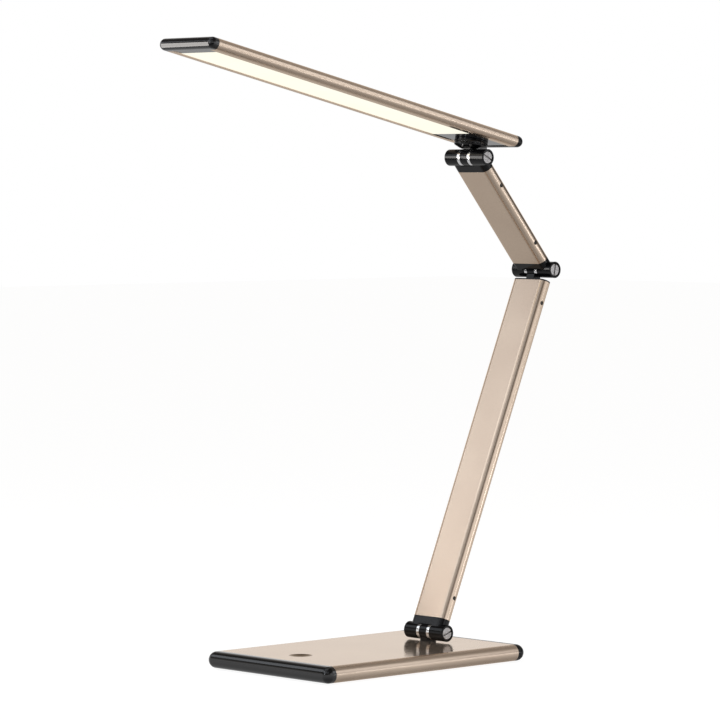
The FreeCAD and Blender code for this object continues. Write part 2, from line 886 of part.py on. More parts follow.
def arm_plug(body):
    """The plug that goes into an arm tube, with its side screw hole."""
    width = s.arm_width - (s.arm_wall + s.plug_gap) * 2
    thick = s.arm_thick - (s.arm_wall + s.plug_gap) * 2
    plug = new_sketch(body, "XY_Plane", s.tube_end)
    add_stadium(plug, width, thick)
    pad(body, plug, s.arm_plug)
    side_hole = new_sketch(body, "YZ_Plane", s.arm_width / 2)
    add_circle(side_hole, 0.0, s.side_screw_at, s.side_screw_dia)
    pocket(body, side_hole, s.side_screw_sunk + s.side_screw_long)


def cut_lead_hole(body, depth):
    hole = new_sketch(body, "XY_Plane", s.tube_end + s.arm_plug)
    add_circle(hole, 0.0, 0.0, s.arm_lead_dia + s.arm_lead_gap * 2)
    pocket(body, hole, depth)


def arm_fork(label):
    """An arm end with the two outer barrels, the screw seat at +X and the nut seat at -X."""
    body = keep(new_body(label), label)
    neck = new_sketch(body, "XY_Plane")
    add_stadium(neck, s.arm_width, s.arm_thick)
    pad(body, neck, s.tube_end)

    barrels = new_sketch(body, "XY_Plane")
    for side, end in ((-1, fork_outer), (1, screw_end)):
        add_outline(
            barrels,
            [
                (side * fork_inner, 0.0),
                (side * end, 0.0),
                (side * end, barrel_radius - s.barrel_bevel),
                (side * (end - s.barrel_bevel), barrel_radius),
                (side * fork_inner, barrel_radius),
            ],
        )
    spin(body, barrels)

    gap = new_sketch(body, "XY_Plane")
    add_rectangle(gap, -fork_inner, fork_inner, 0.0, barrel_radius + s.knuckle_gap)
    groove(body, gap)

    bore = new_sketch(body, "XY_Plane")
    seat = screw_shoulder - s.spring_thick
    seat_radius = s.pivot_head_dia / 2 + s.pivot_head_gap
    add_outline(
        bore,
        [
            (-fork_outer, 0.0),
            (screw_end, 0.0),
            (screw_end, seat_radius),
            (seat, seat_radius),
            (seat, pivot_bore),
            (-fork_outer, pivot_bore),
        ],
    )
    groove(body, bore)

    nut_seat = new_sketch(body, "YZ_Plane", -fork_outer)
    add_hexagon(nut_seat, s.nut_flats + s.nut_gap * 2)
    pocket(body, nut_seat, s.nut_sunk + s.nut_thick, back=True)

    arm_plug(body)
    cut_lead_hole(body, s.arm_plug + s.tube_end)
    return body


def arm_tongue(label):
    """An arm end with the middle barrel on a narrow neck above a thin lip."""
    body, half = tongue_barrel(label)
    lip_bottom = s.tube_end - s.tongue_lip
    neck = new_sketch(body, "XY_Plane")
    add_rectangle(neck, -half, half, -s.tongue_neck / 2, s.tongue_neck / 2)
    pad(body, neck, s.tube_end)
    lip = new_sketch(body, "XY_Plane", lip_bottom)
    add_stadium(lip, s.arm_width, s.arm_thick)
    pad(body, lip, s.tongue_lip)
    cut_pivot_bore(body, half)
    arm_plug(body)
    cut_lead_hole(body, s.arm_plug + s.tube_end - barrel_radius)
    return body


def pivot_screw(label):
    """The slotted hinge screw, with its head at +X and its slot along Y."""
    body = keep(new_body(label), label)
    head_radius = s.pivot_head_dia / 2
    shank_end = -fork_outer + s.nut_sunk
    outline = new_sketch(body, "XY_Plane")
    add_outline(
        outline,
        [
            (shank_end, 0.0),
            (screw_face, 0.0),
            (screw_face, head_radius - s.barrel_bevel),
            (screw_face - s.barrel_bevel, head_radius),
            (screw_shoulder, head_radius),
            (screw_shoulder, s.pivot_dia / 2),
            (shank_end, s.pivot_dia / 2),
        ],
    )
    spin(body, outline)
    slot = new_sketch(body, "YZ_Plane", screw_face)
    add_rectangle(slot, -head_radius, head_radius, -s.slot_wide / 2, s.slot_wide / 2)
    pocket(body, slot, s.slot_deep)
    return body


def disc_ring(label, x0, x1, outer, inner):
    """A flat ring about the X axis."""
    body = new_body(label)
    sketch = new_sketch(body, "XY_Plane")
    add_rectangle(sketch, x0, x1, inner, outer)
    spin(body, sketch)
    return body


def pivot_spring(label):
    """The disc spring under the screw head that keeps the hinge tight."""
    under = screw_shoulder - s.spring_thick
    body = disc_ring(label, under, screw_shoulder, s.pivot_head_dia / 2, pivot_bore)
    return keep(body, label)


def pivot_nut(label):
    body = keep(new_body(label), label)
    sketch = new_sketch(body, "YZ_Plane", s.nut_sunk - fork_outer)
    add_hexagon(sketch, s.nut_flats)
    add_circle(sketch, 0.0, 0.0, s.pivot_dia)
    pad(body, sketch, s.nut_thick)
    return body


def hinge_rings(label):
    """The bright spacer rings on both sides of the tongue."""
    inner = s.tongue_wide / 2
    right = disc_ring(label + "_right", inner, fork_inner, barrel_radius, pivot_bore)
    left = disc_ring(label + "_left", -fork_inner, -inner, barrel_radius, pivot_bore)
    return group(label, [left, right])


def hinge_hardware(name, on_arm, y, z, slot_turn, slot_axis):
    """Screw, spring, nut and rings of one hinge, all riding on the fork's arm."""
    place(pivot_screw(name + "_pivot_screw"), 0.0, y, z, slot_turn, slot_axis)
    on_arm(pivot_spring(name + "_pivot_spring"))
    on_arm(pivot_nut(name + "_pivot_nut"))
    on_arm(hinge_rings(name + "_hinge_rings"))


# Arms
def arm_tube(label, length):
    """A flat tube with full-round edges and two side screw holes."""
    body = keep(new_body(label), label)
    section = new_sketch(body, "XY_Plane", s.tube_end)
    add_stadium(section, s.arm_width, s.arm_thick)
    add_stadium(section, s.arm_width - s.arm_wall * 2, s.arm_thick - s.arm_wall * 2)
    pad(body, section, length - s.tube_end * 2)
    holes = new_sketch(body, "YZ_Plane", s.arm_width / 2)
    for height in (s.side_screw_at, length - s.side_screw_at):
        add_circle(holes, 0.0, height, s.side_screw_dia + s.screw_hole_gap)
    pocket(body, holes, s.arm_width / 2)
    return body


def side_screws(label, length):
    """Grub screws through the tube's edge into the two plugs."""
    pieces = []
    for height in (s.side_screw_at, length - s.side_screw_at):
        body = new_body(label + "_one")
        sketch = new_sketch(body, "YZ_Plane", s.arm_width / 2 - s.side_screw_sunk)
        add_circle(sketch, 0.0, height, s.side_screw_dia)
        pad(body, sketch, s.side_screw_long, back=True)
        pieces.append(body)
    return group(label, pieces)


def arm_lead(label, length):
    """The lead inside a tube, from one end plug to the other."""
    body = keep(new_body(label), label)
    sketch = new_sketch(body, "XY_Plane", s.arm_lead_stop)
    add_circle(sketch, 0.0, 0.0, s.arm_lead_dia)
    pad(body, sketch, length - s.arm_lead_stop * 2)
    return body


def lower_arm():
    on_lower_arm(arm_tube("lower_arm_tube", s.lower_arm))
    on_lower_arm(arm_fork("lower_arm_fork"))
    on_lower_arm_end(arm_tongue("lower_arm_tongue"))
    on_lower_arm(side_screws("lower_arm_side_screws", s.lower_arm))
    on_lower_arm(arm_lead("lower_arm_lead", s.lower_arm))
    hinge_hardware("base", on_lower_arm, hinge_y, hinge_z, s.base_slot_turn, (1, 0, 0))


def upper_arm():
    on_upper_arm(arm_tube("upper_arm_tube", s.upper_arm))
    on_upper_arm(arm_fork("upper_arm_elbow_fork"))
    on_upper_arm_end(arm_fork("upper_arm_head_fork"))
    on_upper_arm(side_screws("upper_arm_side_screws", s.upper_arm))
    on_upper_arm(arm_lead("upper_arm_lead", s.upper_arm))
    hinge_hardware("elbow", on_upper_arm, elbow_y, elbow_z, s.elbow_slot_turn, (1, 0, 0))
    hinge_hardware("head", on_upper_arm_end, tilt_y, tilt_z, s.head_slot_turn, (-1, 0, 0))


# Swivel
def swivel_knuckle():
    """The tongue under the head, which carries the lower swivel disc."""
    body, half = tongue_barrel("swivel_knuckle")
    neck = new_sketch(body, "XY_Plane")
    add_rectangle(neck, -half, half, -s.tongue_neck / 2, s.tongue_neck / 2)
    pad(body, neck, disc_top)
    disc = new_sketch(body, "XZ_Plane")
    rim = s.disc_dia / 2
    add_outline(
        disc,
        [
            (0.0, s.disc_bottom),
            (s.disc_foot_dia / 2, s.disc_bottom),
            (rim, s.disc_bottom + s.disc_cone),
            (rim, disc_top),
            (0.0, disc_top),
        ],
    )
    spin(body, disc, "V_Axis")
    thread = new_sketch(body, "XY_Plane", disc_top)
    add_circle(thread, 0.0, 0.0, s.swivel_bolt_dia)
    pocket(body, thread, disc_top - s.bolt_end)
    cut_pivot_bore(body, half)
    on_head(body)


def flat_ring(label, z0, z1, outer, inner):
    """A flat ring about the swivel axis."""
    body = keep(new_body(label), label)
    sketch = new_sketch(body, "XZ_Plane")
    add_rectangle(sketch, inner, outer, z0, z1)
    spin(body, sketch, "V_Axis")
    on_head(body)
    return body


def swivel_bolt():
    """The bolt that hangs the head, screwed into the knuckle from inside the head."""
    body = keep(new_body("swivel_bolt"), "swivel_bolt")
    shoulder = well_floor + s.bolt_spring_thick
    top = shoulder + s.bolt_head_tall
    shank = s.swivel_bolt_dia / 2
    outline = new_sketch(body, "XZ_Plane")
    add_outline(
        outline,
        [
            (0.0, s.bolt_end),
            (shank, s.bolt_end),
            (shank, shoulder),
            (s.bolt_head_dia / 2, shoulder),
            (s.bolt_head_dia / 2, top),
            (0.0, top),
        ],
    )
    spin(body, outline, "V_Axis")
    socket = new_sketch(body, "XY_Plane", top)
    add_hexagon(socket, s.bolt_socket)
    pocket(body, socket, s.bolt_socket_deep)
    on_head(body)


def swivel():
    swivel_knuckle()
    swivel_bolt()
    bolt_hole = s.swivel_bolt_dia / 2 + s.pivot_fit
    spring_top = well_floor + s.bolt_spring_thick
    flat_ring("swivel_spring", well_floor, spring_top, s.bolt_spring_dia / 2, bolt_hole)
    flat_ring("swivel_washer", disc_top, disc_top + s.washer_thick, s.washer_dia / 2, bolt_hole)


# Head
def swivel_plate():
    """The upper swivel disc, screwed to the mount block."""
    plate_bottom = disc_top + s.washer_thick
    bolt_hole = s.swivel_bolt_dia / 2 + s.pivot_fit
    body = flat_ring("swivel_plate", plate_bottom, panel_face, s.disc_dia / 2, bolt_hole)
    for side in (-1, 1):
        spot = side * s.plate_screw_at
        cut_screw_seat(body, s.plate_screw_dia, panel_face - plate_bottom, spot, 0.0, plate_bottom)


def swivel_plate_screws():
    pieces = []
    for side in (-1, 1):
        screw = countersunk_screw("plate_screw", s.plate_screw_dia, s.plate_screw_long)
        place(screw, side * s.plate_screw_at, 0.0, disc_top + s.washer_thick)
        pieces.append(screw)
    on_head(group("swivel_plate_screws", pieces))


def slot_panel(label, front, rear):
    """A panel with a land in the head's slot and flanges that bear on the slot's lips."""
    body = keep(new_body(label), label)
    land = s.head_slot / 2 - s.land_gap
    flange = s.head_slot / 2 + s.panel_ledge
    section = new_sketch(body, "XZ_Plane", front)
    add_outline(
        section,
        [
            (-land, panel_face),
            (land, panel_face),
            (land, lip_top),
            (flange, lip_top),
            (flange, flange_top),
            (-flange, flange_top),
            (-flange, lip_top),
            (-land, lip_top),
        ],
    )
    pad(body, section, front - rear, back=True)
    return body


def head_mount_block():
    """The cover behind the light, thick enough to take the swivel bolt and its spring."""
    body = slot_panel("head_mount_block", s.panel_rear, -shell_rear)
    upper = new_sketch(body, "XY_Plane", flange_top)
    half = s.plug_width / 2
    rear = shell_rear - s.rear_plug - s.end_gap
    add_rectangle(upper, -half, half, -s.panel_rear, rear)
    pad(body, upper, block_top - flange_top)
    well = new_sketch(body, "XY_Plane", block_top)
    add_circle(well, 0.0, 0.0, s.bolt_well_dia)
    pocket(body, well, block_top - well_floor)
    bolt_hole = new_sketch(body, "XY_Plane", block_top)
    add_circle(bolt_hole, 0.0, 0.0, s.swivel_bolt_dia + s.pivot_fit * 2)
    pocket(body, bolt_hole)
    screw_holes = new_sketch(body, "XY_Plane", panel_face)
    for side in (-1, 1):
        add_circle(screw_holes, side * s.plate_screw_at, 0.0, s.plate_screw_dia)
    pocket(body, screw_holes, s.plate_screw_long, back=True)
    on_head(body)


def head_shell():
    """The head extrusion, open below along the light slot."""
    body = keep(new_body("head_shell"), "head_shell")
    skin = new_sketch(body, "XZ_Plane", shell_front)
    add_stadium(skin, s.head_width, s.head_thick, head_middle)
    add_stadium(
        skin, s.head_width - s.head_wall * 2, s.head_thick - s.head_wall * 2, head_middle
    )
    length = shell_front + shell_rear
    pad(body, skin, length, back=True)
    slot = new_sketch(body, "XZ_Plane", shell_front)
    add_rectangle(slot, -s.head_slot / 2, s.head_slot / 2, s.head_rise, lip_top)
    pocket(body, slot, length)
    on_head(body)


def head_end_cap(label, depth, end, outward):
    """A head end cap with a flat plug above the panel flanges."""
    body = end_cap(label, s.head_width, s.head_thick, s.head_cap, head_middle, end, outward)
    plug = new_sketch(body, "XZ_Plane", -end)
    half = s.plug_width / 2
    add_rectangle(plug, -half, half, flange_top + s.end_gap, block_top)
    pad(body, plug, depth, back=outward < 0)
    on_head(body)


def front_cover():
    on_head(slot_panel("head_front_plate", shell_front, s.panel_front + s.end_gap))


def diffuser():
    rear = s.panel_rear + s.end_gap
    on_head(slot_panel("diffuser", s.panel_front, rear))


def light_layer(label, width, bottom, top):
    """A flat sheet over the diffuser, as long as the lit area."""
    body = keep(new_body(label), label)
    plan = new_sketch(body, "XY_Plane", bottom)
    front = s.panel_front - s.guide_short
    rear = s.panel_rear + s.end_gap
    add_rectangle(plan, -width / 2, width / 2, -front, -rear)
    pad(body, plan, top - bottom)
    on_head(body)


def led_strips():
    """Two edge boards with their row of light sources facing the light guide."""
    face = s.guide_width / 2 + s.led_gap
    back = face + s.led_thick
    front = s.panel_front - s.guide_short
    rear = s.panel_rear + s.end_gap
    middle = flange_top + s.led_board_tall / 2
    centre = (front + rear) / 2
    boards = []
    leds = []
    for side in (-1, 1):
        low_x, high_x = sorted((side * back, side * (back + s.led_board_thick)), key=in_order)
        name = "led_board_right" if side > 0 else "led_board_left"
        top = flange_top + s.led_board_tall
        boards.append(block(name, low_x, high_x, -front, -rear, flange_top, top))
        near_x, far_x = sorted((side * face, side * back), key=in_order)
        for number in range(LEDS_PER_SIDE):
            offset = s.led_pitch * (number - (LEDS_PER_SIDE - 1) / 2)
            start = offset - centre - s.led_wide / 2
            leds.append(
                block(
                    f"led_{number}",
                    near_x,
                    far_x,
                    start,
                    start + s.led_wide,
                    middle - s.led_tall / 2,
                    middle + s.led_tall / 2,
                )
            )
    on_head(group("led_boards", boards))
    on_head(group("leds", leds))


def in_order(size):
    return size.value


def head():
    swivel_plate()
    swivel_plate_screws()
    head_mount_block()
    head_shell()
    head_end_cap("head_front_cap", s.front_plug, -shell_front, -1)
    head_end_cap("head_rear_cap", s.rear_plug, shell_rear, 1)
    front_cover()
    diffuser()
    light_layer("light_guide", s.guide_width, flange_top, guide_top)
    light_layer("back_reflector", s.guide_width, guide_top, guide_top + s.reflector_thick)
    led_strips()


def base():
    base_shell()
    base_cap("base_front_cap", -shell_end, -1)
    base_rear_cap()
    base_pad()
    base_ballast()
    touch_dish()
    touch_electrode()
    board_tray()
    control_board()
    tray_screws()
    dc_jack()
    dc_jack_pin()
    base_leads()
    hinge_foot()
    hinge_foot_screws()


def write_parts():
    """Check every object and write one file for each named piece."""
    doc.recompute()
    for thing in doc.Objects:
        if "Invalid" in thing.State or "Error" in thing.State:
            raise RuntimeError(f"{thing.Name} did not recompute: {thing.State}")
    os.makedirs("parts", exist_ok=True)
    for thing in nodes:
        shape = thing.Shape
        if shape.isNull() or not shape.isValid() or not shape.Solids:
            raise RuntimeError(f"{thing.Label} has no valid shape")
        shape.exportStep(f"parts/{thing.Label}.step")


base()
lower_arm()
upper_arm()
swivel()
head()
write_parts()
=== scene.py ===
"""Looks of the LED desk lamp: finishes, rounded edges, camera and studio."""

import json
import math

import bmesh
import bpy
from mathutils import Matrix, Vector


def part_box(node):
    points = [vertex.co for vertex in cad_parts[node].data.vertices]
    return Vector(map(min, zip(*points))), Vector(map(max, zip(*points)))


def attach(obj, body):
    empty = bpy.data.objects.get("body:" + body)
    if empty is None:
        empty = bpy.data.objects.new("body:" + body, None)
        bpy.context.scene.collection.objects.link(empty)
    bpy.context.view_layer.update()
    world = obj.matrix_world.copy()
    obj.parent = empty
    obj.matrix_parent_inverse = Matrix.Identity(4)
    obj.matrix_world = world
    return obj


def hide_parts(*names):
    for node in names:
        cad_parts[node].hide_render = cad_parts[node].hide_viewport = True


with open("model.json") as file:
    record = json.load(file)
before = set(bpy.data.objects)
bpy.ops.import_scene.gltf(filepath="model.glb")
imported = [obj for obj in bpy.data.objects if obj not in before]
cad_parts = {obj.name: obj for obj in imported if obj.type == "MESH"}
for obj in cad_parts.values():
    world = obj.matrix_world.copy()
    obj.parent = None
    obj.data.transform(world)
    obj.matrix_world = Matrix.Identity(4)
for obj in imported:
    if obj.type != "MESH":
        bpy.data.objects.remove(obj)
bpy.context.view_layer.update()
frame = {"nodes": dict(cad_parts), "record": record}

# Nodes that share a finish or a rounding
HINGES = ("base", "elbow", "head")
HINGE_PARTS = (
    "hinge_foot",
    "lower_arm_fork",
    "lower_arm_tongue",
    "upper_arm_elbow_fork",
    "upper_arm_head_fork",
    "swivel_knuckle",
    "swivel_plate",
)
EXTRUSIONS = ("base_shell", "lower_arm_tube", "upper_arm_tube", "head_shell")
CAPS = ("base_front_cap", "base_rear_cap", "head_front_cap", "head_rear_cap")

# Places of the axes in a list of three
ALONG_Y = 1
ALONG_Z = 2

# Angles of the parts at rest, about X, in degrees
LEVEL = 0.0
LOWER_ARM_LEAN = -23.1
UPPER_ARM_LEAN = 40.4
HEAD_LEAN = -12.4

# Camera, fitted to the photograph's frame of 720 by 720, with its lens and sensor in millimetres
CAMERA_PLACE = (2.0105, -1.8986, 0.35425)
CAMERA_TARGET = (-0.0078, 0.0, 0.22309)
CAMERA_LENS = 190.0
CAMERA_SENSOR = 36.0

# Colours with their alpha
WHITE = (1.0, 1.0, 1.0, 1.0)
OPAQUE = 1.0

# Part of a texture's 0 to 1 over which a colour goes from dark to light
SHADES_FROM = 0.3
SHADES_TO = 0.7

# Even weight between facing and grazing angles
EVEN_BLEND = 0.5

# Champagne aluminium, with lengths in metres
CHAMPAGNE_DARK = (0.60, 0.475, 0.375)
CHAMPAGNE_LIGHT = (0.66, 0.53, 0.42)
CHAMPAGNE_TINT = (1.0, 0.90, 0.80, 1.0)
CHAMPAGNE_ROUGH = (0.20, 0.25)
CHAMPAGNE_METALLIC = 0.95
CHAMPAGNE_CLOUD = 0.05
GRAIN_WIDTH = 0.00018
GRAIN_LENGTH = 0.060
GRAIN_DEPTH = 0.0000006
GRAIN_HARSHNESS = 0.6

# Satin metal: share of its roughness that is left at a grazing angle
SATIN_UP_TO = 0.5
MIRROR_FROM = 0.93
MIRROR_SHARE = 0.4

# Skinned and turned pieces, with lengths in metres
SKIN_DETAIL = 3.0
SKIN_CLOUD = 0.02
TURNED_CLOUD = 0.003
TOOL_WOBBLE = 0.4

# Lit diffuser, with lengths in metres
OPAL = (0.1, 0.1, 0.09, 1.0)
OPAL_ROUGH = 0.5
GLOW_WARM = (1.0, 0.95, 0.79)
GLOW_PALE = (1.0, 0.965, 0.83)
GLOW_STRENGTH = 0.95
GLOW_CLOUD = 0.04
DOT_SIZE = 0.0012
DOT_DEPTH = 0.00002

# Rounded edges, in metres and degrees
HINGE_ROUNDING = 0.0004
RING_ROUNDING = 0.0003
EXTRUSION_ROUNDING = 0.00015
FINE_ROUNDING = 0.0001
MERGE_WITHIN = 0.0000005
FLAT_WITHIN = 0.5
EDGE_FROM = 35.0
SHARP_FROM = 50.0
EDGE_STEPS = 2
ROUND_PROFILE = 0.5
LARGE_FACE_WEIGHT = 100

# Floor, in metres. In a mirroring face its brightness is painted light and shade: it changes across the
# floor from left to right, is darker towards the front, and is paler at a grazing angle, as glossy paper
# is.
FLOOR_REACH = 8.0
FLOOR_CELLS = 4
FLOOR_DROP = 0.0002
FLOOR_GREY = (0.25, 0.25, 0.25, 1.0)
FLOOR_SEEN = 0.93
FLOOR_STEEP = 0.2
FLOOR_GRAZING = 0.95
FLOOR_LEFT = -0.3
FLOOR_RIGHT = 0.2
FLOOR_FRONT_DARK = -0.7
FLOOR_FRONT_PALE = -0.25

# Strengths of the painted light and shade on the mirrored floor at its left and right
MIRRORED_STEEP = (0.43, 0.26)
MIRRORED_GRAZING = (0.55, 0.95)

# Surroundings, by the parts of a direction of length 1
FRONT = -1.0
BACK = 1.0
WHITE_UP_TO = 0.08
DARK_RISE_FRONT = 0.1
DARK_RISE_BACK = 0.9
DARK_SIDE = (0.25, 0.968, 0.0)
DARK_SIDE_FROM = 0.80
DARK_SIDE_FULL = 0.93
DARK_SIDE_LEFT = 0.15

# Colours of the surroundings, by the share of the way from the white to the darkest
SKY = {
    0.55: (0.55, 0.53, 0.51),
    0.80: (0.34, 0.31, 0.28),
    1.00: (0.10, 0.09, 0.08),
}

# Colours of the light boxes
DAYLIGHT = (0.95, 1.0, 1.07)
LAMPLIGHT = (1.04, 1.0, 0.96)


# Frame helpers
def centre_of(node):
    """The middle of a CAD node's box at rest."""
    low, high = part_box(node)
    return [(a + b) / 2 for a, b in zip(low, high)]


def body_of(node):
    """The moving body that carries a CAD node."""
    for body, nodes in frame["record"]["behaviour"]["bodies"].items():
        if node in nodes:
            return body
    raise KeyError(node)


def show(thing):
    bpy.context.scene.collection.objects.link(thing)


def paint(material, *nodes):
    for node in nodes:
        frame["nodes"][node].material_slots[0].material = material


# Node helpers
def new_material(name, settings):
    """A material whose even values are set on its own Principled shader."""
    material = bpy.data.materials.new(name)
    material.use_nodes = True
    for socket, value in settings.items():
        shader_of(material).inputs[socket].default_value = value
    return material


def shader_of(material):
    return material.node_tree.nodes["Principled BSDF"]


def feed(material, socket, value):
    """Links a node's output to a socket of the material's shader."""
    material.node_tree.links.new(value, shader_of(material).inputs[socket])


def add_node(tree, kind, inputs=None, **properties):
    """A new node with the given properties and input values."""
    node = tree.nodes.new(kind)
    for name, value in properties.items():
        setattr(node, name, value)
    for name, value in (inputs or {}).items():
        node.inputs[name].default_value = value
    return node


def fill(tree, socket, operand):
    """Links another node's output to a socket, or sets the socket's own value."""
    if isinstance(operand, bpy.types.NodeSocket):
        tree.links.new(operand, socket)
    else:
        socket.default_value = operand


def combine(tree, operation, first, second):
    """The result of a math operation on two operands, each an output or a number."""
    node = add_node(tree, "ShaderNodeMath", operation=operation)
    fill(tree, node.inputs[0], first)
    fill(tree, node.inputs[1], second)
    return node.outputs["Value"]


def map_range(tree, value, start, end, low, high):
    """Maps start to low and end to high, and stays at low or high beyond them."""
    node = add_node(tree, "ShaderNodeMapRange")
    operands = {"Value": value, "From Min": start, "From Max": end, "To Min": low, "To Max": high}
    for name, operand in operands.items():
        fill(tree, node.inputs[name], operand)
    return node.outputs["Result"]


def spread(tree, value, low, high):
    """Maps a texture's 0 to 1 to the range low to high."""
    return map_range(tree, value, 0.0, 1.0, low, high)


def shades(tree, value, dark, light):
    """Maps a texture's 0 to 1 to the colours from dark to light."""
    ramp = add_node(tree, "ShaderNodeValToRGB")
    first, last = ramp.color_ramp.elements
    first.position = SHADES_FROM
    first.color = (*dark, OPAQUE)
    last.position = SHADES_TO
    last.color = (*light, OPAQUE)
    tree.links.new(value, ramp.inputs["Fac"])
    return ramp.outputs["Color"]


def even(size):
    """The same feature size along all three axes."""
    return (size, size, size)


def part_coordinates(tree, feature, lean=LEVEL, centre=(0.0, 0.0, 0.0)):
    """Object coordinates about a centre, turned with a leaning part, in units of the feature size."""
    source = add_node(tree, "ShaderNodeTexCoord")
    mapping = add_node(tree, "ShaderNodeMapping", vector_type="TEXTURE")
    mapping.inputs["Location"].default_value = centre
    mapping.inputs["Rotation"].default_value = (math.radians(lean), 0.0, 0.0)
    mapping.inputs["Scale"].default_value = feature
    tree.links.new(source.outputs["Object"], mapping.inputs["Vector"])
    return mapping.outputs["Vector"]


def noise(tree, vector, detail=2.0, roughness=0.5):
    inputs = {"Scale": 1.0, "Detail": detail, "Roughness": roughness}
    node = add_node(tree, "ShaderNodeTexNoise", inputs)
    tree.links.new(vector, node.inputs["Vector"])
    return node.outputs["Fac"]


def bump(tree, height, depth):
    """A normal from a texture's height, with its depth in metres."""
    node = add_node(tree, "ShaderNodeBump", {"Strength": 1.0, "Distance": depth})
    tree.links.new(height, node.inputs["Height"])
    return node.outputs["Normal"]


def facing_away(tree):
    """0 where a surface is seen straight on, 1 where it is seen at a grazing angle."""
    slope = add_node(tree, "ShaderNodeLayerWeight", {"Blend": EVEN_BLEND})
    return slope.outputs["Facing"]


def sharper_at_grazing(tree, rough):
    """Lowers a roughness where the surface is seen at a grazing angle, as satin metal mirrors there."""
    share = map_range(tree, facing_away(tree), SATIN_UP_TO, MIRROR_FROM, 1.0, MIRROR_SHARE)
    return combine(tree, "MULTIPLY", rough, share)


# Kinds of finish
def champagne(
    name,
    lean,
    along,
    rough=CHAMPAGNE_ROUGH,
    dark=CHAMPAGNE_DARK,
    light=CHAMPAGNE_LIGHT,
    metallic=CHAMPAGNE_METALLIC,
):
    """Satin anodised aluminium, with a fine grain drawn along one axis of its part."""
    material = new_material(name, {"Metallic": metallic, "Specular Tint": CHAMPAGNE_TINT})
    tree = material.node_tree
    grain_size = list(even(GRAIN_WIDTH))
    grain_size[along] = GRAIN_LENGTH
    grain = noise(tree, part_coordinates(tree, grain_size, lean), roughness=GRAIN_HARSHNESS)
    clouds = noise(tree, part_coordinates(tree, even(CHAMPAGNE_CLOUD), lean))
    feed(material, "Base Color", shades(tree, clouds, dark, light))
    feed(material, "Roughness", sharper_at_grazing(tree, spread(tree, grain, *rough)))
    feed(material, "Normal", bump(tree, grain, GRAIN_DEPTH))
    return material


def skinned(name, dark, light, rough, grain, depth, settings=None):
    """An even surface with a fine skin and a slow change of shade, such as moulded plastic."""
    material = new_material(name, settings or {})
    tree = material.node_tree
    skin = noise(tree, part_coordinates(tree, even(grain)), detail=SKIN_DETAIL)
    clouds = noise(tree, part_coordinates(tree, even(SKIN_CLOUD)))
    feed(material, "Base Color", shades(tree, clouds, dark, light))
    feed(material, "Roughness", spread(tree, skin, *rough))
    feed(material, "Normal", bump(tree, skin, depth))
    return material


def turned_metal(name, centre, dark, light, rough, pitch, depth):
    """Metal turned about the X axis through a centre, with fine rings left by the tool."""
    material = new_material(name, {"Metallic": 1.0})
    tree = material.node_tree
    rings = add_node(
        tree,
        "ShaderNodeTexWave",
        {"Scale": 1.0, "Distortion": TOOL_WOBBLE},
        wave_type="RINGS",
        rings_direction="X",
    )
    place = part_coordinates(tree, even(pitch), centre=centre)
    tree.links.new(place, rings.inputs["Vector"])
    clouds = noise(tree, part_coordinates(tree, even(TURNED_CLOUD)))
    feed(material, "Base Color", shades(tree, clouds, dark, light))
    feed(material, "Roughness", spread(tree, clouds, *rough))
    feed(material, "Normal", bump(tree, rings.outputs["Fac"], depth))
    return material


# Finishes of the aluminium
def champagne_base():
    return champagne("champagne_base", LEVEL, ALONG_Y, rough=(0.26, 0.33), metallic=0.72)


def champagne_head():
    return champagne("champagne_head", HEAD_LEAN, ALONG_Y, rough=(0.27, 0.33))


# The touch dish: champagne aluminium whose colour holds painted shade, dark for the shade and dark
# reflection in the dish's hollow
def painted_shade_dish():
    return champagne(
        "painted_shade_dish",
        LEVEL,
        ALONG_Y,
        rough=(0.2, 0.3),
        # Painted shade: a dark colour that stands for the shade in the hollow
        dark=(0.17, 0.125, 0.09),
        light=(0.21, 0.16, 0.115),
    )


# Finishes of the black pieces
def black_gloss():
    return skinned(
        "black_gloss",
        dark=(0.005, 0.005, 0.006),
        light=(0.009, 0.009, 0.010),
        rough=(0.08, 0.14),
        grain=0.0008,
        depth=0.000001,
        settings={"Specular IOR Level": 0.5, "Coat Weight": 0.2, "Coat Roughness": 0.09},
    )


def black_satin():
    return skinned(
        "black_satin",
        dark=(0.003, 0.003, 0.004),
        light=(0.006, 0.006, 0.007),
        rough=(0.20, 0.30),
        grain=0.0008,
        depth=0.000002,
        settings={"Specular IOR Level": 0.22},
    )


def hinge_black():
    return skinned(
        "hinge_black",
        dark=(0.003, 0.003, 0.004),
        light=(0.006, 0.006, 0.007),
        rough=(0.07, 0.13),
        grain=0.0005,
        depth=0.000001,
        settings={"Specular IOR Level": 0.24},
    )


# Finishes of the hinges' metal
def ring_chrome(hinge):
    return turned_metal(
        f"{hinge}_ring_chrome",
        centre=centre_of(f"{hinge}_hinge_rings"),
        dark=(0.80, 0.80, 0.81),
        light=(0.88, 0.88, 0.88),
        rough=(0.06, 0.14),
        pitch=0.0003,
        depth=0.000003,
    )


def screw_steel(hinge):
    return turned_metal(
        f"{hinge}_screw_steel",
        centre=centre_of(f"{hinge}_pivot_screw"),
        dark=(0.36, 0.345, 0.34),
        light=(0.46, 0.445, 0.44),
        rough=(0.25, 0.40),
        pitch=0.0004,
        depth=0.00001,
    )


# Finishes of the screws, the pad and the pieces inside
def lead_rubber():
    return skinned(
        "lead_rubber",
        dark=(0.018, 0.018, 0.018),
        light=(0.030, 0.030, 0.030),
        rough=(0.60, 0.80),
        grain=0.0004,
        depth=0.00003,
    )


def inner_plastic():
    return skinned(
        "inner_plastic",
        dark=(0.020, 0.020, 0.021),
        light=(0.032, 0.032, 0.033),
        rough=(0.40, 0.60),
        grain=0.0005,
        depth=0.00001,
    )


def plain_steel():
    return skinned(
        "plain_steel",
        dark=(0.42, 0.42, 0.43),
        light=(0.55, 0.55, 0.56),
        rough=(0.30, 0.45),
        grain=0.0006,
        depth=0.00001,
        settings={"Metallic": 1.0},
    )


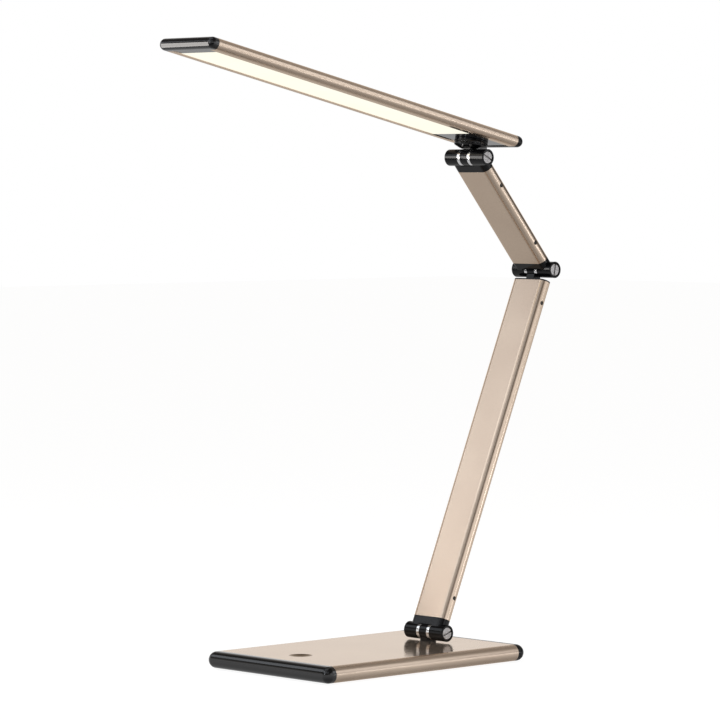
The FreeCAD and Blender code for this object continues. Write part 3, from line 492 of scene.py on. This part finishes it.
def dark_screw():
    return skinned(
        "dark_screw",
        dark=(0.03, 0.028, 0.026),
        light=(0.06, 0.055, 0.05),
        rough=(0.30, 0.45),
        grain=0.0003,
        depth=0.00001,
        settings={"Metallic": 1.0},
    )


def contact_brass():
    return skinned(
        "contact_brass",
        dark=(0.60, 0.44, 0.20),
        light=(0.72, 0.56, 0.28),
        rough=(0.20, 0.30),
        grain=0.0004,
        depth=0.000005,
        settings={"Metallic": 1.0},
    )


def board_green():
    return skinned(
        "board_green",
        dark=(0.01, 0.09, 0.03),
        light=(0.02, 0.13, 0.05),
        rough=(0.25, 0.40),
        grain=0.0006,
        depth=0.00001,
    )


# Finishes of the light
def white_sheet():
    return skinned(
        "white_sheet",
        dark=(0.72, 0.72, 0.71),
        light=(0.80, 0.80, 0.79),
        rough=(0.40, 0.55),
        grain=0.0006,
        depth=0.00001,
    )


def clear_acrylic():
    return skinned(
        "clear_acrylic",
        dark=(0.90, 0.93, 0.94),
        light=(0.94, 0.96, 0.97),
        rough=(0.02, 0.06),
        grain=0.002,
        depth=0.000005,
        settings={"Transmission Weight": 1.0, "IOR": 1.49},
    )


def led_phosphor():
    return skinned(
        "led_phosphor",
        dark=(0.80, 0.60, 0.18),
        light=(0.88, 0.70, 0.26),
        rough=(0.30, 0.45),
        grain=0.0004,
        depth=0.00001,
    )


def lit_opal():
    """The diffuser, glowing almost evenly, with the fine dots of its light guide."""
    settings = {"Base Color": OPAL, "Roughness": OPAL_ROUGH, "Emission Strength": GLOW_STRENGTH}
    material = new_material("lit_opal", settings)
    tree = material.node_tree
    dots = add_node(tree, "ShaderNodeTexVoronoi", {"Scale": 1.0})
    place = part_coordinates(tree, even(DOT_SIZE), HEAD_LEAN)
    tree.links.new(place, dots.inputs["Vector"])
    clouds = noise(tree, part_coordinates(tree, even(GLOW_CLOUD), HEAD_LEAN))
    feed(material, "Emission Color", shades(tree, clouds, GLOW_WARM, GLOW_PALE))
    feed(material, "Normal", bump(tree, dots.outputs["Distance"], DOT_DEPTH))
    return material


# Every CAD node gets its finish
def finish_outside():
    paint(champagne_base(), "base_shell")
    paint(champagne("champagne_lower_arm", LOWER_ARM_LEAN, ALONG_Z), "lower_arm_tube")
    paint(champagne("champagne_upper_arm", UPPER_ARM_LEAN, ALONG_Z), "upper_arm_tube")
    paint(champagne_head(), "head_shell")
    # The touch dish's finish holds painted shade
    paint(painted_shade_dish(), "touch_dish")
    paint(black_gloss(), "base_front_cap", "head_front_cap", "head_mount_block", "head_front_plate")
    paint(black_satin(), "base_rear_cap", "head_rear_cap")


def finish_hinges():
    paint(hinge_black(), *HINGE_PARTS)
    for hinge in HINGES:
        paint(ring_chrome(hinge), f"{hinge}_hinge_rings")
        steel = screw_steel(hinge)
        paint(steel, f"{hinge}_pivot_screw", f"{hinge}_pivot_nut", f"{hinge}_pivot_spring")


def finish_inside():
    paint(lead_rubber(), "base_pad", "base_leads", "lower_arm_lead", "upper_arm_lead")
    paint(inner_plastic(), "dc_jack", "board_tray")
    steel = plain_steel()
    paint(steel, "base_ballast", "tray_screws", "hinge_foot_screws")
    paint(steel, "swivel_bolt", "swivel_spring", "swivel_washer", "swivel_plate_screws")
    paint(dark_screw(), "lower_arm_side_screws", "upper_arm_side_screws")
    paint(contact_brass(), "touch_electrode", "dc_jack_pin")
    paint(board_green(), "control_board")


def finish_light():
    paint(white_sheet(), "back_reflector", "led_boards")
    paint(clear_acrylic(), "light_guide")
    paint(led_phosphor(), "leds")
    paint(lit_opal(), "diffuser")


def finish_frame():
    """Gives every CAD node its finish."""
    finish_outside()
    finish_hinges()
    finish_inside()
    finish_light()


# Rounded edges
def add_piece(name, form, material, node):
    """Turns a mesh form into a piece that stands for one CAD node and moves with it."""
    mesh = bpy.data.meshes.new(name)
    form.to_mesh(mesh)
    form.free()
    mesh.materials.append(material)
    mesh.shade_smooth()
    mesh.set_sharp_from_angle(angle=math.radians(SHARP_FROM))
    piece = bpy.data.objects.new(name, mesh)
    show(piece)
    weighted = piece.modifiers.new("weighted", "WEIGHTED_NORMAL")
    weighted.mode = "FACE_AREA"
    weighted.weight = LARGE_FACE_WEIGHT
    weighted.keep_sharp = True
    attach(piece, body_of(node))
    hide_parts(node)


def is_sharp(edge):
    return edge.is_manifold and edge.calc_face_angle() > math.radians(EDGE_FROM)


def soften(node, width):
    """Puts a copy with rounded edges, which catch the light, in the place of a CAD node."""
    source = frame["nodes"][node]
    form = bmesh.new()
    form.from_mesh(source.data)
    bmesh.ops.remove_doubles(form, verts=form.verts, dist=MERGE_WITHIN)
    flat = math.radians(FLAT_WITHIN)
    bmesh.ops.dissolve_limit(form, angle_limit=flat, verts=form.verts, edges=form.edges)
    bmesh.ops.bevel(
        form,
        geom=[edge for edge in form.edges if is_sharp(edge)],
        offset=width,
        segments=EDGE_STEPS,
        profile=ROUND_PROFILE,
        affect="EDGES",
        clamp_overlap=True,
    )
    bmesh.ops.recalc_face_normals(form, faces=form.faces)
    add_piece(node + "_rounded", form, source.material_slots[0].material, node)


def round_edges():
    """Softens the edges of the pieces that show."""
    for node in HINGE_PARTS:
        soften(node, HINGE_ROUNDING)
    for hinge in HINGES:
        soften(f"{hinge}_hinge_rings", RING_ROUNDING)
    for node in EXTRUSIONS:
        soften(node, EXTRUSION_ROUNDING)
    for node in CAPS:
        soften(node, FINE_ROUNDING)
    for end in ("screw", "nut"):
        for hinge in HINGES:
            soften(f"{hinge}_pivot_{end}", FINE_ROUNDING)


# Floor
def floor_glow(tree):
    """How bright the floor looks: near white to the camera, and with painted light and shade by place in
    mirroring faces.
    """
    path = add_node(tree, "ShaderNodeLightPath")
    straight = combine(tree, "MAXIMUM", path.outputs["Is Camera Ray"], path.outputs["Is Transmission Ray"])
    seen = spread(tree, straight, 0.0, FLOOR_SEEN)
    source = add_node(tree, "ShaderNodeTexCoord")
    place = add_node(tree, "ShaderNodeSeparateXYZ")
    tree.links.new(source.outputs["Object"], place.inputs["Vector"])
    # Painted light and shade: the mirrored floor's brightness changes from left to right and falls towards
    # the front
    steep = map_range(tree, place.outputs["X"], FLOOR_LEFT, FLOOR_RIGHT, *MIRRORED_STEEP)
    grazing = map_range(tree, place.outputs["X"], FLOOR_LEFT, FLOOR_RIGHT, *MIRRORED_GRAZING)
    fall = map_range(tree, facing_away(tree), FLOOR_STEEP, FLOOR_GRAZING, steep, grazing)
    front = map_range(tree, place.outputs["Y"], FLOOR_FRONT_DARK, FLOOR_FRONT_PALE, 0.0, 1.0)
    lit = combine(tree, "MULTIPLY", front, fall)
    mirrored = combine(tree, "MULTIPLY", path.outputs["Is Glossy Ray"], lit)
    return combine(tree, "ADD", seen, mirrored)


def floor_paper():
    """Grey paper that takes the shadow, with the floor's glow added."""
    material = bpy.data.materials.new("floor_paper")
    material.use_nodes = True
    tree = material.node_tree
    tree.nodes.clear()
    paper = add_node(tree, "ShaderNodeBsdfDiffuse", {"Color": FLOOR_GREY})
    glow = add_node(tree, "ShaderNodeEmission", {"Color": WHITE})
    both = add_node(tree, "ShaderNodeAddShader")
    output = add_node(tree, "ShaderNodeOutputMaterial")
    tree.links.new(floor_glow(tree), glow.inputs["Strength"])
    tree.links.new(paper.outputs["BSDF"], both.inputs[0])
    tree.links.new(glow.outputs["Emission"], both.inputs[1])
    tree.links.new(both.outputs["Shader"], output.inputs["Surface"])
    return material


def add_floor():
    """A pale floor that shows white to the camera and keeps the lamp's shadow."""
    form = bmesh.new()
    bmesh.ops.create_grid(form, x_segments=FLOOR_CELLS, y_segments=FLOOR_CELLS, size=FLOOR_REACH)
    mesh = bpy.data.meshes.new("floor")
    form.to_mesh(mesh)
    form.free()
    mesh.materials.append(floor_paper())
    floor = bpy.data.objects.new("floor", mesh)
    floor.location.z = -FLOOR_DROP
    show(floor)


# Surroundings
def sky_colour(tree, direction):
    """White at the horizon, darker and warmer overhead, where the dark comes lowest at the front."""
    parts = add_node(tree, "ShaderNodeSeparateXYZ")
    tree.links.new(direction, parts.inputs["Vector"])
    rise = combine(tree, "SUBTRACT", parts.outputs["Z"], WHITE_UP_TO)
    reach = map_range(tree, parts.outputs["Y"], FRONT, BACK, DARK_RISE_FRONT, DARK_RISE_BACK)
    ramp = add_node(tree, "ShaderNodeValToRGB")
    stops = ramp.color_ramp.elements
    stops.remove(stops[1])
    stops[0].position = 0.0
    stops[0].color = WHITE
    for position, colour in SKY.items():
        stop = stops.new(position)
        stop.color = (*colour, OPAQUE)
    tree.links.new(combine(tree, "DIVIDE", rise, reach), ramp.inputs["Fac"])
    return ramp.outputs["Color"]


def side_shade(tree, direction):
    """The share of light that comes from a direction: full, but low on the dark side behind the lamp."""
    turn = add_node(tree, "ShaderNodeVectorMath", operation="DOT_PRODUCT")
    fill(tree, turn.inputs[0], direction)
    fill(tree, turn.inputs[1], DARK_SIDE)
    return map_range(tree, turn.outputs["Value"], DARK_SIDE_FROM, DARK_SIDE_FULL, 1.0, DARK_SIDE_LEFT)


def set_world():
    """Plain soft surroundings, at full strength to the camera."""
    world = bpy.data.worlds.new("studio")
    bpy.context.scene.world = world
    world.use_nodes = True
    tree = world.node_tree
    background = tree.nodes["Background"]
    direction = add_node(tree, "ShaderNodeTexCoord").outputs["Generated"]
    path = add_node(tree, "ShaderNodeLightPath")
    strength = combine(tree, "MAXIMUM", path.outputs["Is Camera Ray"], side_shade(tree, direction))
    tree.links.new(sky_colour(tree, direction), background.inputs["Color"])
    tree.links.new(strength, background.inputs["Strength"])


# Lights and camera
def face(thing, target):
    """Turns a light or a camera, already in its place, towards a point."""
    look = Vector(target) - thing.location
    thing.rotation_euler = look.to_track_quat("-Z", "Y").to_euler()


def add_softbox(name, place, width, height, radiance, aim=CAMERA_TARGET, colour=DAYLIGHT):
    """A soft light box that faces the middle of the lamp, or its own aim, and shows in glossy faces."""
    data = bpy.data.lights.new(name, "AREA")
    data.shape = "RECTANGLE"
    data.size = width
    data.size_y = height
    data.energy = radiance * math.pi * width * height
    data.color = colour
    light = bpy.data.objects.new(name, data)
    light.location = place
    face(light, aim)
    light.visible_camera = False
    show(light)


def add_lights():
    # Mirrored in the head's front cap
    add_softbox(
        "slanted_box",
        place=(-0.647, -0.671, 0.462),
        width=0.26,
        height=1.09,
        radiance=6.0,
        aim=(-0.317, -0.391, 1.362),
        colour=LAMPLIGHT,
    )
    # Mirrored in the near corners of the front caps
    add_softbox("corner_box", place=(-0.05, -1.60, 0.60), width=0.12, height=0.70, radiance=9.0)
    # Soft light from above
    add_softbox("overhead_box", place=(-0.30, -0.40, 1.50), width=1.0, height=1.0, radiance=0.7)
    # Mirrored in the front face of the lower arm
    add_softbox("front_box", place=(-0.95, -0.54, 0.775), width=0.45, height=0.42, radiance=1.1)
    add_softbox("low_front_box", place=(-0.95, -0.58, 0.56), width=0.34, height=0.32, radiance=0.26)
    # Mirrored in the near edge of the lower arm, beside its front face
    add_softbox("front_edge_box", place=(-0.52, -1.05, 0.98), width=0.75, height=0.50, radiance=1.6)
    # Mirrored in the near edges of base and head
    add_softbox("side_low_box", place=(0.95, 0.85, 0.05), width=0.50, height=0.10, radiance=2.9)
    add_softbox("side_mid_box", place=(0.95, 0.85, 0.50), width=0.50, height=0.26, radiance=1.0)
    add_softbox("side_high_box", place=(0.95, 0.85, 0.80), width=0.50, height=0.30, radiance=1.3)
    # Mirrored further round the near edge of the lower arm
    add_softbox("arm_side_box", place=(1.2, 0.05, 0.42), width=0.80, height=0.45, radiance=0.55)
    add_softbox("arm_front_box", place=(0.12, -1.15, 1.05), width=0.50, height=0.50, radiance=0.75)
    # Soft light from the camera's side
    add_softbox("camera_side_box", place=(0.81, -1.26, 1.2), width=1.2, height=1.0, radiance=0.45)


def add_camera():
    data = bpy.data.cameras.new("camera")
    data.lens = CAMERA_LENS
    data.sensor_width = CAMERA_SENSOR
    camera = bpy.data.objects.new("camera", data)
    camera.location = CAMERA_PLACE
    face(camera, CAMERA_TARGET)
    show(camera)
    bpy.context.scene.camera = camera


def set_studio():
    add_floor()
    set_world()
    add_lights()
    add_camera()
    bpy.context.scene.view_settings.view_transform = "Standard"


finish_frame()
round_edges()
set_studio()
